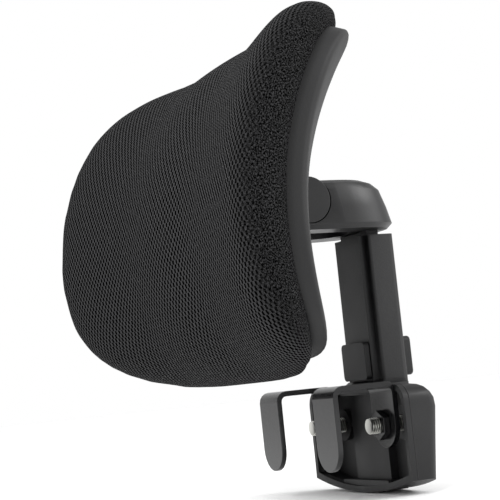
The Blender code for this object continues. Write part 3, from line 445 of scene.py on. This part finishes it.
def smooth_section(count):
    """Points along the pad's edge profile: (fraction of the outline, fraction of the full depth)."""
    points = [np.array(p) for p in SECTION]
    points = [2 * points[0] - points[1]] + points + [2 * points[-1] - points[-2]]
    out = []
    for i in range(1, len(points) - 2):
        a, b, c, d = points[i - 1:i + 3]
        for t in np.linspace(0, 1, count, endpoint=False):
            out.append(0.5 * (2 * b + (c - a) * t + (2 * a - 5 * b + 4 * c - d) * t ** 2
                              + (3 * b - a - 3 * c + d) * t ** 3))
    return out + [points[-2]]


PROFILE = smooth_section(5)


def full_depth(x):
    """Depth of the whole pad at a distance from its middle."""
    return CUSHION_DEPTH - CUSHION_THINNING * (x / CUSHION_HALF) ** 2


def cushion_ring(scale, fraction, count=120):
    """One ring of the pad: its outline scaled about the middle, at a share of the pad's depth."""
    ring = []
    for x, z in outline(count, CUSHION_HALF * scale, CUSHION_HALF_HEIGHT * scale):
        z += CUSHION_CENTRE
        depth = RIM_DEPTH + (full_depth(x) - RIM_DEPTH) * fraction
        ring.append((x, rear_face(x, z) - depth, z))
    return ring


def arc_table(curve, reach, count=200):
    """Places from a curve's middle outwards, and the distance along the curve to each."""
    places = np.linspace(0, reach, count)
    heights = np.array([curve(p) for p in places])
    steps = np.hypot(np.diff(places), np.diff(heights))
    return places, np.concatenate([[0.0], np.cumsum(steps)])


ALONG = arc_table(lambda x: rear_face(x, SHELL_CENTRE), 0.2)
UPWARD = arc_table(lambda z: rear_face(0.0, SHELL_CENTRE + z), 0.14)
PROFILE_ARRAY = np.array(PROFILE[1:])


def cloth_coordinates(point):
    """Where a point of the pad lies on the flat cloth, in metres from its centre."""
    x, y, z = point[0], point[1], point[2] - CUSHION_CENTRE
    run = math.hypot(x, z)
    if run < 1e-6:
        return 0.0, 0.0
    c, s = x / run, z / run
    edge = (abs(c / CUSHION_HALF) ** CORNER_POWER
            + abs(s / CUSHION_HALF_HEIGHT) ** CORNER_POWER) ** (-1 / CORNER_POWER)
    deep = full_depth(x) - RIM_DEPTH
    rise = rear_face(x, point[2]) - y - RIM_DEPTH
    spots = PROFILE_ARRAY * (edge, deep)
    nearest = int(np.argmin((spots[:, 0] - run) ** 2 + (spots[:, 1] - rise) ** 2))
    walked = np.concatenate([[spots[0, 0]], spots[0, 0] + np.cumsum(np.hypot(*np.diff(spots, axis=0).T))])
    tangent = spots[min(nearest + 1, len(spots) - 1)] - spots[max(nearest - 1, 0)]
    tangent = tangent / np.hypot(*tangent)
    length = walked[nearest] + tangent @ (np.array([run, rise]) - spots[nearest])
    u = math.copysign(np.interp(abs(length * c), *ALONG), c)
    v = math.copysign(np.interp(abs(length * s), *UPWARD), s)
    return u, v


HEM_RISE = 0.004        # the cover is held where it stands less than this in front of the rim
CLOTH_STEPS = 20


def swell(piece, pressure, cap):
    """Cloth step: the skin is blown out by the foam's pressure, no point moving further than the cap."""
    mesh = piece.data
    rest = np.empty(len(mesh.vertices) * 3)
    mesh.vertices.foreach_get("co", rest)
    rest = rest.reshape(-1, 3)
    held = piece.vertex_groups.new(name="hem")
    for vertex in mesh.vertices:
        p = UPRIGHT @ vertex.co
        rise = rear_face(p.x, p.z) - p.y - RIM_DEPTH
        held.add([vertex.index], 1.0 if rise < HEM_RISE else 0.0, "REPLACE")
    cloth = piece.modifiers.new("foam pressure", "CLOTH")
    cloth.settings.use_pressure = True
    cloth.settings.uniform_pressure_force = pressure
    cloth.settings.vertex_group_mass = "hem"
    cloth.settings.quality = 5
    cloth.settings.effector_weights.gravity = 0.0
    cloth.settings.tension_stiffness = 25
    cloth.settings.compression_stiffness = 25
    cloth.settings.shear_stiffness = 15
    cloth.settings.bending_stiffness = 4
    for step in range(1, CLOTH_STEPS + 1):
        bpy.context.scene.frame_set(step)
    blown = bpy.data.meshes.new_from_object(piece.evaluated_get(bpy.context.evaluated_depsgraph_get()))
    after = np.empty(len(blown.vertices) * 3)
    blown.vertices.foreach_get("co", after)
    moved = after.reshape(-1, 3) - rest
    length = np.linalg.norm(moved, axis=1, keepdims=True)
    rest += moved * np.minimum(1.0, cap / np.maximum(length, 1e-9))
    piece.modifiers.remove(cloth)
    mesh.vertices.foreach_set("co", rest.ravel())
    bpy.data.meshes.remove(blown)
    bpy.context.scene.frame_set(1)


HOLE_ACROSS = 0.0038    # a staggered lattice, so holes stand half of this apart from one line to the next
HOLE_UP = 0.0041
WANDER = 0.0009         # how much the place of a hole varies
STRETCH_START = 0.116   # where along the cloth the lines of holes begin to break up, and where they have gone
STRETCH_END = 0.158


def air_mesh(name):
    """Black three-layer air mesh: dull polyester yarn round small holes in staggered lines, with painted shade inside
    them.
    """
    made, tree, surface = new_material(name, Roughness=0.8, IOR=1.45)
    lie = add_node(tree, "ShaderNodeUVMap", uv_map="cloth").outputs["UV"]
    wander = add_node(tree, "ShaderNodeTexNoise", {"Vector": lie, "Scale": 300.0, "Detail": 2.0})
    nudge = add_node(tree, "ShaderNodeVectorMath", {0: wander.outputs["Color"], 1: (0.5, 0.5, 0.5)},
                     operation="SUBTRACT")
    small = add_node(tree, "ShaderNodeVectorMath", {0: nudge.outputs["Vector"], "Scale": WANDER},
                     operation="SCALE")
    bent = add_node(tree, "ShaderNodeVectorMath", {0: lie, 1: small.outputs["Vector"]}, operation="ADD")
    flat = add_node(tree, "ShaderNodeSeparateXYZ", {0: bent.outputs["Vector"]})

    def maths(operation, first, second=0.0):
        return add_node(tree, "ShaderNodeMath", {0: first, 1: second}, operation=operation).outputs["Value"]

    def ramp(value, low, high, start=0.0, end=1.0):
        limits = {"Value": value, "From Min": low, "From Max": high, "To Min": start, "To Max": end}
        return add_node(tree, "ShaderNodeMapRange", limits, interpolation_type="SMOOTHSTEP").outputs["Result"]

    across = maths("COSINE", maths("MULTIPLY", flat.outputs["X"], 2 * math.pi / HOLE_ACROSS))
    up = maths("COSINE", maths("MULTIPLY", flat.outputs["Y"], 2 * math.pi / HOLE_UP))
    in_rows = ramp(maths("MULTIPLY", across, up), -0.1, 0.28)
    lumps = add_node(tree, "ShaderNodeTexNoise", {"Vector": lie, "Scale": 1150.0, "Detail": 1.0, "Distortion": 0.4})
    scattered = ramp(lumps.outputs["Fac"], 0.34, 0.70)
    stretched = ramp(maths("ABSOLUTE", flat.outputs["X"]), STRETCH_START, STRETCH_END)
    holes = maths("ADD", maths("MULTIPLY", in_rows, maths("SUBTRACT", 1.0, stretched)),
                  maths("MULTIPLY", scattered, stretched))
    yarn = add_node(tree, "ShaderNodeTexNoise", {"Vector": lie, "Scale": 1800.0, "Detail": 2.0, "Roughness": 0.7})
    # painted shade: the holes run to near black, standing in for the shade inside them; the yarn noise adds its own
    # random tone
    depth = maths("ADD", holes, ramp(yarn.outputs["Fac"], 0.3, 0.7, 0.0, 0.4))
    colour = two_tones(tree, depth, (0.05, "#323233"), (0.9, "#010101"))
    tree.links.new(colour, surface.inputs["Base Color"])
    tree.links.new(ramp(holes, 0.0, 1.0, 0.12, 0.0), surface.inputs["Specular IOR Level"])
    height = maths("SUBTRACT", maths("MULTIPLY", yarn.outputs["Fac"], 0.35), holes)
    bump = add_node(tree, "ShaderNodeBump", {"Height": height, "Strength": 1.0, "Distance": 0.0011})
    tree.links.new(bump.outputs["Normal"], surface.inputs["Normal"])
    return made


AIR_MESH = air_mesh("black air mesh")
rings = [cushion_ring(s, f) for s, f in PROFILE[1:] + [(s, TUCK) for s in BEHIND]]
cushion = lofted("cushion", rings, AIR_MESH)
VOXEL = 0.005
RELAXINGS = 4           # times the remeshed skin is smoothed, which takes the voxels' steps out
FOAM_PRESSURE = 4.0
MOST_SWELL = 0.003
thicken = cushion.modifiers.new("even skin", "REMESH")
thicken.mode = "VOXEL"
thicken.voxel_size = VOXEL
even = bpy.data.meshes.new_from_object(cushion.evaluated_get(bpy.context.evaluated_depsgraph_get()))
cushion.modifiers.clear()
cushion.data = even
even.name = "cushion"
relax = bmesh.new()
relax.from_mesh(even)
for _ in range(RELAXINGS):
    bmesh.ops.smooth_vert(relax, verts=relax.verts, factor=0.5, use_axis_x=True, use_axis_y=True, use_axis_z=True)
relax.to_mesh(even)
relax.free()
cloth_places = [cloth_coordinates(UPRIGHT @ v.co) for v in even.vertices]
cloth_map = even.uv_layers.new(name="cloth")
for loop in even.loops:
    cloth_map.data[loop.index].uv = cloth_places[loop.vertex_index]
swell(cushion, FOAM_PRESSURE, MOST_SWELL)
even.shade_smooth()
even.materials.clear()
even.materials.append(AIR_MESH)
finer = cushion.modifiers.new("smooth skin", "SUBSURF")
finer.levels = 1
finer.render_levels = 1
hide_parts("fabric_cover", "foam_core")
place_on(cushion, "headrest")


# ---- Small steel parts and the board
# What stays as it was turned or pressed: screws, axle, nut, washers, spring and the board inside the pad.
SPRING_WIRE = plated_steel("plain spring steel", "#6c6c6b", 0.3)
FINISHES = {"black_steel": ENAMEL, "zinc_steel": ZINC, "spring_steel": SPRING_WIRE, "black_plastic": NYLON}
slots = {row["node"]: row["material_slot"] for row in frame["record"]["subparts"]}
for name, part in frame["nodes"].items():
    if slots.get(name) in FINISHES:
        part.data.materials.clear()
        part.data.materials.append(FINISHES[slots[name]])


# ---- Floor, light and camera
# A white sweep under a white surround, which gives most of the light. A soft key from above, in front and to the
# sitter's left shapes the pad, and a weaker lamp behind, on the same side, draws the rims.
floor_mesh = bpy.data.meshes.new("floor")
SPAN = 6.0              # half the floor's width
FLOOR_GAP = 0.0005      # between the floor and the clamp's lowest point
floor_mesh.from_pydata([(-SPAN, -SPAN, 0), (SPAN, -SPAN, 0), (SPAN, SPAN, 0), (-SPAN, SPAN, 0)], [], [(0, 1, 2, 3)])
floor_mesh.transform(Matrix.Translation((0, 0, CAD_BOX[0][2] - FLOOR_GAP)))
floor = bpy.data.objects.new("floor", floor_mesh)
bpy.context.scene.collection.objects.link(floor)
floor_mesh.materials.append(new_material("white sweep", Roughness=0.9, Base_Color=linear("#ffffff"))[0])

surround = bpy.data.worlds.new("surround")
bpy.context.scene.world = surround
surround.use_nodes = True
surround.node_tree.nodes["Background"].inputs["Color"].default_value = linear("#ffffff")
surround.node_tree.nodes["Background"].inputs["Strength"].default_value = 1.0
bpy.context.scene.view_settings.view_transform = "Standard"


def lamp(name, place, target, size, power):
    """Round area lamp that faces its target; size in metres, power in watts."""
    light = bpy.data.lights.new(name, "AREA")
    light.shape = "DISK"
    light.size = size
    light.energy = power
    stand = bpy.data.objects.new(name, light)
    stand.location = place
    stand.rotation_euler = (Vector(target) - Vector(place)).to_track_quat("-Z", "Y").to_euler()
    bpy.context.scene.collection.objects.link(stand)


MIDDLE = (0, 0, 0.05)
lamp("key", (0.5, -0.7, 0.9), MIDDLE, 0.5, 14)
lamp("rim", (0.5, 0.8, 0.5), MIDDLE, 0.4, 6)

VIEW_FROM = Vector((0.64517, -0.33040, 0.00588))
VIEW_ALONG = Vector((-0.90405, 0.41601, 0.09811))
VIEW_UP = Vector((0.13109, 0.05138, 0.99004))
lens = bpy.data.cameras.new("camera")
lens.sensor_width = 36
lens.lens = 100.8
lens.clip_start = 0.01
camera = bpy.data.objects.new("camera", lens)
right = VIEW_ALONG.cross(VIEW_UP)
camera.matrix_world = Matrix.Translation(VIEW_FROM) @ Matrix((right, VIEW_UP, -VIEW_ALONG)).transposed().to_4x4()
bpy.context.scene.collection.objects.link(camera)
bpy.context.scene.camera = camera
